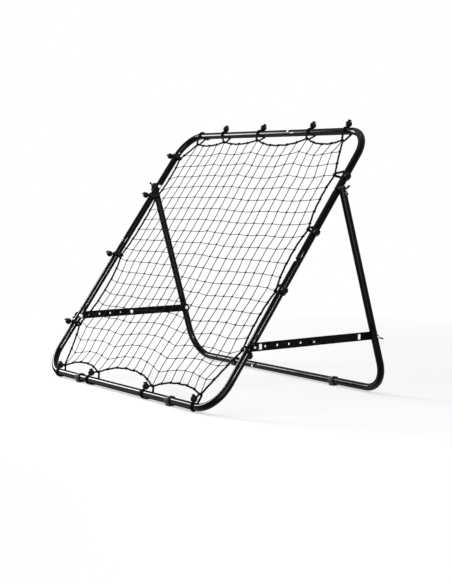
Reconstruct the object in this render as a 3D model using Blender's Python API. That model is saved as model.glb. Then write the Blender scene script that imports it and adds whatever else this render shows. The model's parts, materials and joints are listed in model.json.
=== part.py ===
"""Soccer rebounder: a tilted square frame of steel tube with a roped net tied inside it, held up by a
U-shaped leg frame hinged outside it and two pairs of drilled struts.

Metres, +Z up. X runs along the bars, to the right as seen from the net's face. The net faces -Y and up.
The floor is z = 0 and the origin is on it, midway between the front and the rear bar.
"""

from math import acos, asin, atan2, ceil, cos, floor, hypot, pi, radians, sin, sqrt, tau

import bmesh
import bpy
from mathutils import Matrix, Vector

# Steel tube
TUBE_R = 0.011
WALL = 0.0012
TUBE_SIDES = 14
CORNER_STEPS = 7
JOINT_GAP = 0.0003
SWAGE_TAPER = 0.002
INSERT = 0.045

# Front frame, in its own plane: x across, s up the slope from the bottom bar's centre line
FRAME_TILT = radians(53.86)
FRAME_HALF_WIDTH = 0.489
FRAME_LENGTH = 0.978
FRAME_CORNER_R = 0.090
BAR_JOINT_X = 0.225 * FRAME_HALF_WIDTH
SIDE_JOINT_S = 0.2403 * FRAME_LENGTH
UPPER_JOINT_S = 0.5235 * FRAME_LENGTH

# Leg frame
DEPTH = 0.6226
LEG_CORNER_R = 0.092
REAR_JOINT_X = -0.2863 * FRAME_HALF_WIDTH
LEG_JOINT_ABOVE_BOLT = 0.022
LEG_TOP_PAST_PIVOT = 0.008
PIVOT_S = 0.774 * FRAME_LENGTH

# Snap buttons
BUTTON_R = 0.0041
BUTTON_HOLE_R = 0.0046
BUTTON_PROUD = 0.0028
BUTTON_DOME = 0.0016
BUTTON_FROM_JOINT = 0.012
LEAF_WIDTH = 0.006
LEAF_THICKNESS = 0.001
LEAF_LENGTH = 0.030
LEAF_DROP = 0.010

# Foot clips
CLIP_BASE = 0.0045
CLIP_WALL = 0.0040
CLIP_LENGTH = 0.020
CLIP_BASE_WIDTH = 0.020
CLIP_ARM_ANGLE = radians(55)
CLIP_X = 0.542 * FRAME_HALF_WIDTH

# Struts
STRUT_WIDTH = 0.025
STRUT_THICKNESS = 0.002
STRUT_BOLT_S = 0.2166 * FRAME_LENGTH
HOLE_PITCH = 0.043
HOLE_COUNT = 5

# Bolts and wing nuts. The last five are shares of the wing's reach and height, the hub's or the head's
BOLT_R = 0.003
BOLT_HOLE_R = 0.0033
HEAD_R = 0.0065
HEAD_HEIGHT = 0.0038
THREAD_PAST_HUB = 0.003
HUB_R = 0.0055
HUB_HEIGHT = 0.0065
WING_SPAN = 0.027
WING_HEIGHT = 0.0165
WING_THICKNESS = 0.0022
WING_TIP = (0.74, 0.72)
WING_FOOT = 0.12
WING_NOTCH = 0.55
HUB_TAPER = 0.85
HEAD_RIM = 0.25

# Caps on the tops of the legs
CAP_HEIGHT = 0.0035
CAP_STEM = 0.0035
CAP_RIM = 0.001

# Net and border rope
ROPE_R = 0.003
ROPE_STEPS = 5
ROPE_FLAT = 0.008
ROPE_FULLNESS = 2.5
TOP_SAG = 0.026
SIDE_SAG = 0.014
BOTTOM_SAG = 0.036
CORNER_SAG = 0.006
TWINE_WIDTH = 0.0022
TWINE_THICKNESS = 0.002
NET_PITCH = 0.060
NET_EDGE = 0.030

# Ties, in order round the frame from the top bar's left end. A place is a share of half the bar's straight
# part, from its middle. A ball's angle is counted from the direction to the net, towards the front
TIE_CORD_R = 0.00175
TIE_BALL_R = 0.0095
TIE_BALL_CLEAR = 0.0012
TIE_TUBE_STEP = radians(40)
TIE_ROPE_STEP = radians(75)
BALL_SIDES = 7
BALL_STEPS = 4
TOP_REACH = 0.029
SIDE_REACH = 0.037
BOTTOM_REACH = 0.024
TOP_TIES = (-1.002, -0.664, -0.153, 0.509, 0.947)
RIGHT_TIES = (0.787, 0.283, -0.223, -0.744)
BOTTOM_TIES = (0.982, 0.311, -0.514, -1.002)
LEFT_TIES = (-0.764, -0.065, 0.569, 1.0)
TOP_BALLS = (radians(245), radians(160), radians(165), radians(155), radians(150))
RIGHT_BALLS = (radians(160), radians(162), radians(163), radians(300))
BOTTOM_BALLS = (radians(42), radians(30), radians(30), radians(30))
LEFT_BALLS = (radians(122), radians(125), radians(135), radians(145))

GAP = 0.0003
SMALL_SIDES = 10

# Worked out from the sizes above
FITTED_R = TUBE_R - WALL - JOINT_GAP
BAR_Z = TUBE_R + GAP + CLIP_BASE
FRONT_Y = -DEPTH / 2
PIVOT_Y = FRONT_Y + PIVOT_S * cos(FRAME_TILT)
PIVOT_Z = BAR_Z + PIVOT_S * sin(FRAME_TILT)
LEG_LENGTH = hypot(DEPTH / 2 - PIVOT_Y, PIVOT_Z - BAR_Z)
LEG_TILT = atan2(PIVOT_Z - BAR_Z, PIVOT_Y - DEPTH / 2)
LEG_HALF_WIDTH = FRAME_HALF_WIDTH + 2 * TUBE_R + GAP
STRUT_Y = FRONT_Y + STRUT_BOLT_S * cos(FRAME_TILT)
STRUT_Z = BAR_Z + STRUT_BOLT_S * sin(FRAME_TILT)
MIDDLE_Y = STRUT_Y + HOLE_COUNT * HOLE_PITCH
REAR_BOLT_UP = (STRUT_Z - BAR_Z) / sin(LEG_TILT)
REAR_BOLT_Y = DEPTH / 2 + REAR_BOLT_UP * cos(LEG_TILT)
FRONT_STRUT_X = FRAME_HALF_WIDTH + TUBE_R + GAP
REAR_STRUT_X = LEG_HALF_WIDTH - TUBE_R - GAP - STRUT_THICKNESS
STRAIGHT_X = FRAME_HALF_WIDTH - FRAME_CORNER_R
STRAIGHT_S = FRAME_LENGTH / 2 - FRAME_CORNER_R


def clear_scene():
    for obj in list(bpy.data.objects):
        bpy.data.objects.remove(obj)


def material(name, colour, roughness, metallic):
    made = bpy.data.materials.new(name)
    made.use_nodes = True
    shader = made.node_tree.nodes["Principled BSDF"]
    shader.inputs["Base Color"].default_value = (*colour, 1)
    shader.inputs["Roughness"].default_value = roughness
    shader.inputs["Metallic"].default_value = metallic
    return made


def empty(name, location, tilt):
    """A plane to build in: its local X is world X, its local Y runs up the slope."""
    made = bpy.data.objects.new(name, None)
    made.location = location
    made.rotation_euler = (tilt, 0, 0)
    bpy.context.scene.collection.objects.link(made)
    return made


def finish(bm, name, look=None, parent=None):
    """A mesh object from a bmesh, with outward normals and smooth shading."""
    bmesh.ops.remove_doubles(bm, verts=bm.verts, dist=1e-6)
    bmesh.ops.recalc_face_normals(bm, faces=bm.faces)
    mesh = bpy.data.meshes.new(name)
    bm.to_mesh(mesh)
    bm.free()
    mesh.shade_smooth()
    mesh.set_sharp_from_angle(angle=radians(35))
    obj = bpy.data.objects.new(name, mesh)
    if look:
        mesh.materials.append(look)
    obj.parent = parent
    bpy.context.scene.collection.objects.link(obj)
    return obj


def helper(bm, name, parent=None):
    """An object that only cuts or joins others."""
    obj = finish(bm, name, parent=parent)
    obj.hide_render = True
    obj.display_type = "WIRE"
    return obj


def boolean(obj, other, operation):
    modifier = obj.modifiers.new(operation.lower(), "BOOLEAN")
    modifier.operation = operation
    modifier.object = other


def ring(bm, centre, first, second, radius, sides):
    """A circle of vertices round centre, in the plane of the unit vectors first and second."""
    centre = Vector(centre)
    turns = [tau * k / sides for k in range(sides)]
    return [bm.verts.new(centre + radius * (cos(a) * first + sin(a) * second)) for a in turns]


def bridge(bm, lower, upper):
    count = len(lower)
    for k in range(count):
        after = (k + 1) % count
        bm.faces.new((lower[k], lower[after], upper[after], upper[k]))


def turned(bm, profile, sides=SMALL_SIDES, place=None):
    """A solid turned about local Z from (radius, height) pairs that start and end on the axis."""
    place = place or Matrix.Identity(4)
    east = Vector((1, 0, 0))
    north = Vector((0, 1, 0))
    start = bm.verts.new((0, 0, profile[0][1]))
    end = bm.verts.new((0, 0, profile[-1][1]))
    rings = [ring(bm, (0, 0, z), east, north, r, sides) for r, z in profile[1:-1]]
    for lower, upper in zip(rings, rings[1:]):
        bridge(bm, lower, upper)
    for k in range(sides):
        after = (k + 1) % sides
        bm.faces.new((start, rings[0][after], rings[0][k]))
        bm.faces.new((end, rings[-1][k], rings[-1][after]))
    made = [start, end] + [v for row in rings for v in row]
    bmesh.ops.transform(bm, matrix=place, verts=made)


def rod(bm, radius, low, high, place=None):
    """A plain cylinder along local Z."""
    turned(bm, ((0, low), (radius, low), (radius, high), (0, high)), place=place)


def slab(bm, outline, low, high, place=None):
    """An outline of (x, y) pairs, extruded from low to high along local Z."""
    face = bm.faces.new([bm.verts.new((x, y, low)) for x, y in outline])
    raised = bmesh.ops.extrude_face_region(bm, geom=[face])["geom"]
    upper = [v for v in raised if isinstance(v, bmesh.types.BMVert)]
    bmesh.ops.translate(bm, verts=upper, vec=(0, 0, high - low))
    if place:
        bmesh.ops.transform(bm, matrix=place, verts=upper + list(face.verts))


def arc(centre, radius, start, end, steps):
    """Points of a plane arc, both ends included."""
    angles = [start + (end - start) * k / steps for k in range(steps + 1)]
    return [(centre[0] + radius * cos(a), centre[1] + radius * sin(a)) for a in angles]


# Tubes


def bent_path(start, corner, end, radius):
    """(point, direction) pairs of a centre line with one rounded corner, in a frame's plane."""
    start, corner, end = Vector(start), Vector(corner), Vector(end)
    into = (corner - start).normalized()
    out = (end - corner).normalized()
    centre = corner - into * radius + out * radius
    path = [(start, into)]
    for k in range(CORNER_STEPS + 1):
        turn = pi / 2 * k / CORNER_STEPS
        point = centre - out * radius * cos(turn) + into * radius * sin(turn)
        path.append((point, into * cos(turn) + out * sin(turn)))
    path.append((end, out))
    return path


def straight_path(start, end):
    start, end = Vector(start), Vector(end)
    along = (end - start).normalized()
    return [(start, along), (end, along)]


def stations(path, male_start, male_end, inset):
    """(point, direction, radius) along a tube's surface, with its narrowed ends."""
    full = TUBE_R - inset
    narrow = FITTED_R - inset
    first, into = path[0]
    last, out = path[-1]
    found = [(point, along, full) for point, along in path[1:-1]]
    if male_start:
        neck = first + into * JOINT_GAP
        start = [(first - into * INSERT, into, narrow), (neck, into, narrow)]
        start.append((neck + into * SWAGE_TAPER, into, full))
    else:
        start = [(first, into, full)]
    if male_end:
        neck = last - out * JOINT_GAP
        end = [(neck - out * SWAGE_TAPER, out, full), (neck, out, narrow)]
        end.append((last + out * INSERT, out, narrow))
    else:
        end = [(last, out, full)]
    return start + found + end


def tube(name, path, look, parent, male_start=False, male_end=False, bolts=(), buttons=()):
    """An open steel tube. bolts are points on its centre line; buttons are (point, +1 front or -1 back)."""
    outer = stations(path, male_start, male_end, 0)
    inner = stations(path, male_start, male_end, WALL)[::-1]
    bm = bmesh.new()
    normal = Vector((0, 0, 1))
    rings = []
    for point, along, radius in outer + inner:
        side = Vector((along.y, -along.x, 0))
        rings.append(ring(bm, (point.x, point.y, 0), side, normal, radius, TUBE_SIDES))
    for lower, upper in zip(rings, rings[1:] + rings[:1]):
        bridge(bm, lower, upper)
    obj = finish(bm, name, look, parent)
    cutter = bmesh.new()
    for x, y in bolts:
        place = Matrix.Translation((x, y, 0)) @ Matrix.Rotation(pi / 2, 4, "Y")
        rod(cutter, BOLT_HOLE_R, -2 * TUBE_R, 2 * TUBE_R, place)
    for (x, y), facing in buttons:
        place = Matrix.Translation((x, y, 0)) @ Matrix.Rotation(0 if facing > 0 else pi, 4, "X")
        rod(cutter, BUTTON_HOLE_R, BUTTON_R, 2 * TUBE_R, place)
    boolean(obj, helper(cutter, name + "_holes", parent), "DIFFERENCE")
    return obj


def front_tubes(look, plane):
    half = FRAME_HALF_WIDTH
    top = FRAME_LENGTH
    bottom_button = ((BAR_JOINT_X - BUTTON_FROM_JOINT, 0), -1)
    top_button = ((BAR_JOINT_X - BUTTON_FROM_JOINT, top), 1)
    for side, word, facing in ((-1, "left", -1), (1, "right", 1)):
        x = side * half
        strut_bolt = (x, STRUT_BOLT_S)
        side_button = ((x, UPPER_JOINT_S - BUTTON_FROM_JOINT), facing)
        male = side > 0
        lower = bent_path((BAR_JOINT_X, 0), (x, 0), (x, SIDE_JOINT_S), FRAME_CORNER_R)
        upper = bent_path((BAR_JOINT_X, top), (x, top), (x, UPPER_JOINT_S), FRAME_CORNER_R)
        tube(f"front_lower_{word}_tube", lower, look, plane, male, False, [strut_bolt], [bottom_button])
        tube(f"front_upper_{word}_tube", upper, look, plane, male, True, [(x, PIVOT_S)],
             [top_button, side_button])
        middle = straight_path((x, SIDE_JOINT_S), (x, UPPER_JOINT_S))
        tube(f"front_side_{word}_tube", middle, look, plane, True, False, [strut_bolt], [side_button])


def leg_tubes(look, plane):
    """Local Y is 0 at the pivot and -LEG_LENGTH at the rear bar."""
    rear_button = ((REAR_JOINT_X - BUTTON_FROM_JOINT, -LEG_LENGTH), 1)
    joint = REAR_BOLT_UP + LEG_JOINT_ABOVE_BOLT - LEG_LENGTH
    for side, word in ((-1, "left"), (1, "right")):
        x = side * LEG_HALF_WIDTH
        bolt = (x, REAR_BOLT_UP - LEG_LENGTH)
        lower = bent_path((REAR_JOINT_X, -LEG_LENGTH), (x, -LEG_LENGTH), (x, joint), LEG_CORNER_R)
        tube(f"rear_lower_{word}_tube", lower, look, plane, side > 0, False, [bolt], [rear_button])
        upper = straight_path((x, joint), (x, LEG_TOP_PAST_PIVOT))
        tube(f"leg_{word}_tube", upper, look, plane, True, False, [bolt, (x, 0)])


def leg_caps(look, plane):
    stem = TUBE_R - WALL - GAP
    base = LEG_TOP_PAST_PIVOT + GAP
    for side, word in ((-1, "left"), (1, "right")):
        dome = [(TUBE_R * cos(a), base + CAP_RIM + CAP_HEIGHT * sin(a)) for a in (0, pi / 5, pi / 3)]
        profile = [(0, base - CAP_STEM), (stem, base - CAP_STEM), (stem, base), (TUBE_R, base)]
        profile += dome + [(0, base + CAP_RIM + CAP_HEIGHT)]
        bm = bmesh.new()
        turned(bm, profile, TUBE_SIDES, Matrix.Rotation(-pi / 2, 4, "X"))
        obj = finish(bm, f"leg_{word}_cap", look, plane)
        obj.location = (side * LEG_HALF_WIDTH, 0, 0)


# Snap buttons, foot clips


def snap_button(name, look, plane, x, y, facing, along):
    """A domed button on a leaf that slants across the bore. along is the leaf's direction in the plane."""
    top = TUBE_R + BUTTON_PROUD
    leaf_top = sqrt((FITTED_R - WALL - GAP) ** 2 - (LEAF_WIDTH / 2) ** 2) - GAP
    shoulder = top - BUTTON_DOME
    profile = [(0, leaf_top - LEAF_THICKNESS / 2), (BUTTON_R, leaf_top - LEAF_THICKNESS / 2)]
    profile += [(BUTTON_R * cos(a), shoulder + BUTTON_DOME * sin(a)) for a in (0, pi / 5, pi / 3)]
    profile += [(0, top)]
    bm = bmesh.new()
    turned(bm, profile)
    leaf = bmesh.new()
    start = -BUTTON_R
    outline = [(start, leaf_top - LEAF_THICKNESS), (0, leaf_top - LEAF_THICKNESS)]
    outline += [(LEAF_LENGTH, leaf_top - LEAF_THICKNESS - LEAF_DROP), (LEAF_LENGTH, leaf_top - LEAF_DROP)]
    outline += [(BUTTON_R, leaf_top), (start, leaf_top)]
    slab(leaf, outline, -LEAF_WIDTH / 2, LEAF_WIDTH / 2, Matrix.Rotation(pi / 2, 4, "X"))
    obj = finish(bm, name, look, plane)
    other = helper(leaf, name + "_leaf", obj)
    boolean(obj, other, "UNION")
    obj.location = (x, y, 0)
    heading = atan2(along[1], along[0])
    if facing > 0:
        obj.rotation_euler = (0, 0, heading)
    else:
        obj.rotation_euler = (pi, 0, heading)


def snap_buttons(look, front, legs):
    x = BAR_JOINT_X - BUTTON_FROM_JOINT
    s = UPPER_JOINT_S - BUTTON_FROM_JOINT
    snap_button("button_top", look, front, x, FRAME_LENGTH, 1, (1, 0))
    snap_button("button_bottom", look, front, x, 0, -1, (1, 0))
    snap_button("button_side_left", look, front, -FRAME_HALF_WIDTH, s, -1, (0, 1))
    snap_button("button_side_right", look, front, FRAME_HALF_WIDTH, s, 1, (0, 1))
    snap_button("button_rear", look, legs, REAR_JOINT_X - BUTTON_FROM_JOINT, -LEG_LENGTH, 1, (1, 0))


def clip_outline():
    """Section of a foot clip, in (y, z) from the bar's centre: a C open at the top, on a flat base."""
    inner = TUBE_R + GAP
    outer = inner + CLIP_WALL
    middle = (inner + outer) / 2
    base = -BAR_Z
    tip = (middle * cos(CLIP_ARM_ANGLE), middle * sin(CLIP_ARM_ANGLE))
    foot = -acos(CLIP_BASE_WIDTH / 2 / outer)
    right = arc((0, 0), outer, foot, CLIP_ARM_ANGLE, 6)
    right += arc(tip, CLIP_WALL / 2, CLIP_ARM_ANGLE, CLIP_ARM_ANGLE + pi, 4)[1:-1]
    bore = arc((0, 0), inner, CLIP_ARM_ANGLE, -pi - CLIP_ARM_ANGLE, 16)
    left = [(-y, z) for y, z in right][::-1]
    return [(CLIP_BASE_WIDTH / 2, base)] + right + bore + left + [(-CLIP_BASE_WIDTH / 2, base)]


def foot_clips(look, parents):
    for place, y in (("front", FRONT_Y), ("rear", DEPTH / 2)):
        for side, word in ((-1, "left"), (1, "right")):
            bm = bmesh.new()
            upright = Matrix.Rotation(pi / 2, 4, "Z") @ Matrix.Rotation(pi / 2, 4, "X")
            slab(bm, clip_outline(), -CLIP_LENGTH / 2, CLIP_LENGTH / 2, upright)
            obj = finish(bm, f"foot_clip_{place}_{word}", look)
            world_place(obj, parents[place], (side * CLIP_X, y, BAR_Z))


def world_place(obj, parent, location, rotation=(0, 0, 0)):
    """Parents obj and keeps its location and rotation as world values."""
    obj.parent = parent
    obj.matrix_parent_inverse = (parent.matrix_world).inverted()
    obj.location = location
    obj.rotation_euler = rotation


# Struts


def stadium(length):
    """A strip's outline, from a hole at 0 to one at length, with round ends."""
    r = STRUT_WIDTH / 2
    return arc((length, 0), r, -pi / 2, pi / 2, 8) + arc((0, 0), r, pi / 2, 3 * pi / 2, 8)


def strut(name, look, parent, x, y, heading, holes):
    """A flat strip from a hole at y, towards heading (+1 back, -1 forward), lying in the plane X = x."""
    bm = bmesh.new()
    cutter = bmesh.new()
    slab(bm, stadium(holes[-1]), 0, STRUT_THICKNESS)
    for along in holes:
        rod(cutter, BOLT_HOLE_R, -STRUT_THICKNESS, 2 * STRUT_THICKNESS, Matrix.Translation((along, 0, 0)))
    upright = Matrix.Rotation(pi / 2, 4, "Z") @ Matrix.Rotation(pi / 2, 4, "X")
    if heading < 0:
        upright = Matrix.Diagonal((1, -1, 1, 1)) @ upright
    for made in (bm, cutter):
        bmesh.ops.transform(made, matrix=upright, verts=made.verts)
    obj = finish(bm, name, look)
    boolean(obj, helper(cutter, name + "_holes", obj), "DIFFERENCE")
    world_place(obj, parent, (x, y, STRUT_Z))


def struts(look, front, legs):
    front_holes = [HOLE_PITCH * k for k in range(HOLE_COUNT + 1)]
    rear_holes = [0, REAR_BOLT_Y - MIDDLE_Y]
    for side, word in ((-1, "left"), (1, "right")):
        front_x = FRONT_STRUT_X if side > 0 else -FRONT_STRUT_X - STRUT_THICKNESS
        rear_x = REAR_STRUT_X if side > 0 else -REAR_STRUT_X - STRUT_THICKNESS
        strut(f"strut_front_{word}", look, front, front_x, STRUT_Y, 1, front_holes)
        strut(f"strut_rear_{word}", look, legs, rear_x, REAR_BOLT_Y, -1, rear_holes)


# Bolts and wing nuts


def bolt(name, look, parent, side, y, z, seat, end):
    """A domed bolt along X: its head sits inside seat, its shank reaches out to end."""
    rise = 1 - HEAD_RIM
    dome = [(HEAD_R * cos(a), -HEAD_HEIGHT * (HEAD_RIM + rise * sin(a))) for a in (pi / 3, pi / 6, 0)]
    profile = [(0, -HEAD_HEIGHT)] + dome + [(HEAD_R, 0), (BOLT_R, 0), (BOLT_R, end - seat), (0, end - seat)]
    bm = bmesh.new()
    turned(bm, profile)
    obj = finish(bm, name, look)
    world_place(obj, parent, (side * seat, y, z), (0, side * pi / 2, 0))


def wing_nut(name, look, parent, side, y, z, seat, turn):
    """A wing nut whose base is at seat, turned by turn about its own axis."""
    bm = bmesh.new()
    top = HUB_TAPER * HUB_R
    turned(bm, ((0, 0), (HUB_R, 0), (HUB_R, HUB_HEIGHT / 2), (top, HUB_HEIGHT), (0, HUB_HEIGHT)))
    wings = bmesh.new()
    reach = WING_SPAN / 2
    tip = (WING_TIP[0] * reach, WING_TIP[1] * WING_HEIGHT)
    tip_r = min(reach - tip[0], WING_HEIGHT - tip[1])
    right = [(HUB_R, WING_FOOT * HUB_HEIGHT)] + arc(tip, tip_r, -pi / 4, 3 * pi / 4, 4)
    right += [(WING_NOTCH * HUB_R, WING_NOTCH * HUB_HEIGHT)]
    left = [(-x, h) for x, h in right][::-1]
    slab(wings, right + left, -WING_THICKNESS / 2, WING_THICKNESS / 2, Matrix.Rotation(pi / 2, 4, "X"))
    bore = bmesh.new()
    rod(bore, BOLT_HOLE_R, -HUB_HEIGHT, 2 * WING_HEIGHT)
    obj = finish(bm, name, look)
    boolean(obj, helper(wings, name + "_wings", obj), "UNION")
    boolean(obj, helper(bore, name + "_bore", obj), "DIFFERENCE")
    obj.rotation_mode = "ZYX"
    world_place(obj, parent, (side * seat, y, z), (0, side * pi / 2, turn))


def fasteners(steel, dark, front, legs):
    """Each place: name, y, z, inner seat of the head, outer seat of the nut, turn of the nut."""
    tube_seat = FRAME_HALF_WIDTH - TUBE_R - GAP
    leg_seat = LEG_HALF_WIDTH + TUBE_R + GAP
    strut_seat = FRONT_STRUT_X + STRUT_THICKNESS + GAP
    strip_seat = REAR_STRUT_X - GAP
    strip_face = REAR_STRUT_X + STRUT_THICKNESS
    places = (
        ("pivot", front, PIVOT_Y, PIVOT_Z, tube_seat, leg_seat, radians(-14)),
        ("front", front, STRUT_Y, STRUT_Z, tube_seat, strut_seat, radians(50)),
        ("middle", legs, MIDDLE_Y, STRUT_Z, strip_seat, strut_seat, radians(62)),
        ("rear", legs, REAR_BOLT_Y, STRUT_Z, strip_seat, leg_seat, radians(60)),
    )
    for side, word in ((-1, "left"), (1, "right")):
        for place, parent, y, z, seat, nut_seat, turn in places:
            end = nut_seat + HUB_HEIGHT + THREAD_PAST_HUB
            if place == "middle":
                parent = bpy.data.objects[f"strut_rear_{word}"]
                end = strip_face
            bolt(f"bolt_{place}_{word}", steel, parent, side, y, z, seat, end)
            wing_nut(f"wing_nut_{place}_{word}", dark, parent, side, y, z, nut_seat, turn)


# Net, rope and ties, in the front frame's plane


def tie_places():
    """(name, point on the tube, direction to the net, reach, ball angle) in order round the frame."""
    right, up = Vector((1, 0)), Vector((0, 1))
    middle = up * FRAME_LENGTH / 2
    half = right * FRAME_HALF_WIDTH
    runs = (
        ("top", middle * 2, right * STRAIGHT_X, -up, TOP_REACH, TOP_TIES, TOP_BALLS),
        ("right", middle + half, up * STRAIGHT_S, -right, SIDE_REACH, RIGHT_TIES, RIGHT_BALLS),
        ("bottom", Vector((0, 0)), right * STRAIGHT_X, up, BOTTOM_REACH, BOTTOM_TIES, BOTTOM_BALLS),
        ("left", middle - half, up * STRAIGHT_S, right, SIDE_REACH, LEFT_TIES, LEFT_BALLS),
    )
    found = []
    for run, centre, half_run, inward, reach, shares, angles in runs:
        for k, (share, angle) in enumerate(zip(shares, angles)):
            found.append((f"tie_{run}_{k + 1}", centre + half_run * share, inward, reach, angle))
    return found


def rope_corners():
    """Points where the ties hold the rope, each with the rope's direction there and the sag that follows."""
    sags = {"top": TOP_SAG, "right": SIDE_SAG, "bottom": BOTTOM_SAG, "left": SIDE_SAG}
    places = tie_places()
    found = []
    for k, (name, point, inward, reach, _) in enumerate(places):
        run = name.split("_")[1]
        same = places[(k + 1) % len(places)][0].split("_")[1] == run
        along = Vector((-inward.y, inward.x))
        found.append((point + inward * reach, along, sags[run] if same else CORNER_SAG))
    return found


def rope_path():
    """The rope's closed centre line: straight at each tie, and bowed towards the net's middle between."""
    corners = rope_corners()
    path = []
    for k, (held, along, sag) in enumerate(corners):
        after, next_along, _ = corners[(k + 1) % len(corners)]
        start = held + along * ROPE_FLAT
        end = after - next_along * ROPE_FLAT
        run = end - start
        inward = Vector((run.y, -run.x)).normalized()
        path.append(held)
        for step in range(ROPE_STEPS + 1):
            t = step / ROPE_STEPS
            path.append(start + run * t + inward * sag * (1 - abs(2 * t - 1) ** ROPE_FULLNESS))
    return path


def cord_loop(bm, points, radius, sides):
    """A closed cord through points of the plane with normal local Z."""
    rings = []
    for k, point in enumerate(points):
        before = (point - points[k - 1]).normalized()
        after = (points[(k + 1) % len(points)] - point).normalized()
        along = (before + after).normalized()
        side = Vector((along.y, -along.x, 0))
        mitre = radius / max(0.5, along.dot(after))
        turns = [tau * n / sides for n in range(sides)]
        centre = Vector((point.x, point.y, 0))
        rings.append(
            [bm.verts.new(centre + side * mitre * cos(a) + Vector((0, 0, radius * sin(a)))) for a in turns]
        )
    for lower, upper in zip(rings, rings[1:] + rings[:1]):
        bridge(bm, lower, upper)


def border_rope(look, plane):
    bm = bmesh.new()
    cord_loop(bm, rope_path(), ROPE_R, 6)
    finish(bm, "border_rope", look, plane)


def belt_radius(core, step):
    """Radius of the corners of a cord that goes round a core in steps of this angle."""
    return (core + GAP + TIE_CORD_R) / cos(step / 2)


def tie_belt(reach):
    """Points of a tie's loop, round the tube at 0 and the rope at reach along local X."""
    tube_r = belt_radius(TUBE_R, TIE_TUBE_STEP)
    rope_r = belt_radius(ROPE_R, TIE_ROPE_STEP)
    lean = asin((tube_r - rope_r) / reach)
    leave = pi / 2 - lean
    tube_turn = tau - 2 * leave
    rope_turn = 2 * leave
    points = arc((0, 0), tube_r, leave, leave + tube_turn, ceil(tube_turn / TIE_TUBE_STEP))
    points += arc((reach, 0), rope_r, -leave, -leave + rope_turn, ceil(rope_turn / TIE_ROPE_STEP))
    return [Vector(p) for p in points]


def ties(look, plane):
    """Each loop lies square to its tube: local X towards the net, local Y to the frame's front."""
    for name, point, inward, reach, ball_angle in tie_places():
        bm = bmesh.new()
        cord_loop(bm, tie_belt(reach), TIE_CORD_R, 5)
        away = TUBE_R + TIE_BALL_CLEAR + TIE_BALL_R
        ball = bmesh.new()
        angles = [-pi / 2 + pi * k / BALL_STEPS for k in range(BALL_STEPS + 1)]
        profile = [(TIE_BALL_R * max(0, cos(a)), TIE_BALL_R * sin(a)) for a in angles]
        place = Matrix.Translation((away * cos(ball_angle), away * sin(ball_angle), 0))
        turned(ball, profile, BALL_SIDES, place)
        obj = finish(bm, name, look, plane)
        boolean(obj, helper(ball, name + "_ball", obj), "UNION")
        inward3 = Vector((inward.x, inward.y, 0))
        front = Vector((0, 0, 1))
        axes = Matrix((inward3, front, inward3.cross(front))).transposed().to_4x4()
        obj.matrix_local = Matrix.Translation((point.x, point.y, 0)) @ axes


def rope_crossings(axis, level):
    """Where the rope crosses a twine line, as (position along the line, how squarely it crosses).

    axis is 0 for a row, which runs across at s = level, and 1 for a column, which runs up at x = level."""
    path = rope_path()
    across = 1 - axis
    found = []
    for a, b in zip(path, path[1:] + path[:1]):
        if (a[across] - level) * (b[across] - level) > 0 or a[across] == b[across]:
            continue
        t = (level - a[across]) / (b[across] - a[across])
        found.append((a[axis] + (b[axis] - a[axis]) * t, abs((b - a).normalized()[across])))
    return min(found), max(found)


def twine_ends(axis, level):
    """Both ends of a twine line: on the rope, or on the loop of a tie that it meets."""
    half = TWINE_WIDTH / 2
    held = [point + inward * reach for _, point, inward, reach, _ in tie_places()]
    ends = []
    for (along, square), sign in zip(rope_crossings(axis, level), (1, -1)):
        stop = (ROPE_R + 2 * GAP + half * sqrt(1 - square * square)) / square
        for point in held:
            beside = abs(point[1 - axis] - level) < TIE_CORD_R + half + GAP
            if beside and abs(point[axis] - along) < ROPE_FLAT:
                stop = max(stop, belt_radius(ROPE_R, TIE_ROPE_STEP) + TIE_CORD_R + 2 * GAP)
        ends.append(along + sign * stop)
    return ends


def net_lines(room):
    """Places of twine lines, evenly about 0, that stay NET_EDGE clear of a rope bowed in to room from 0."""
    count = 1 + floor(2 * (room - NET_EDGE) / NET_PITCH)
    return [NET_PITCH * (k - (count - 1) / 2) for k in range(count)]


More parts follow.
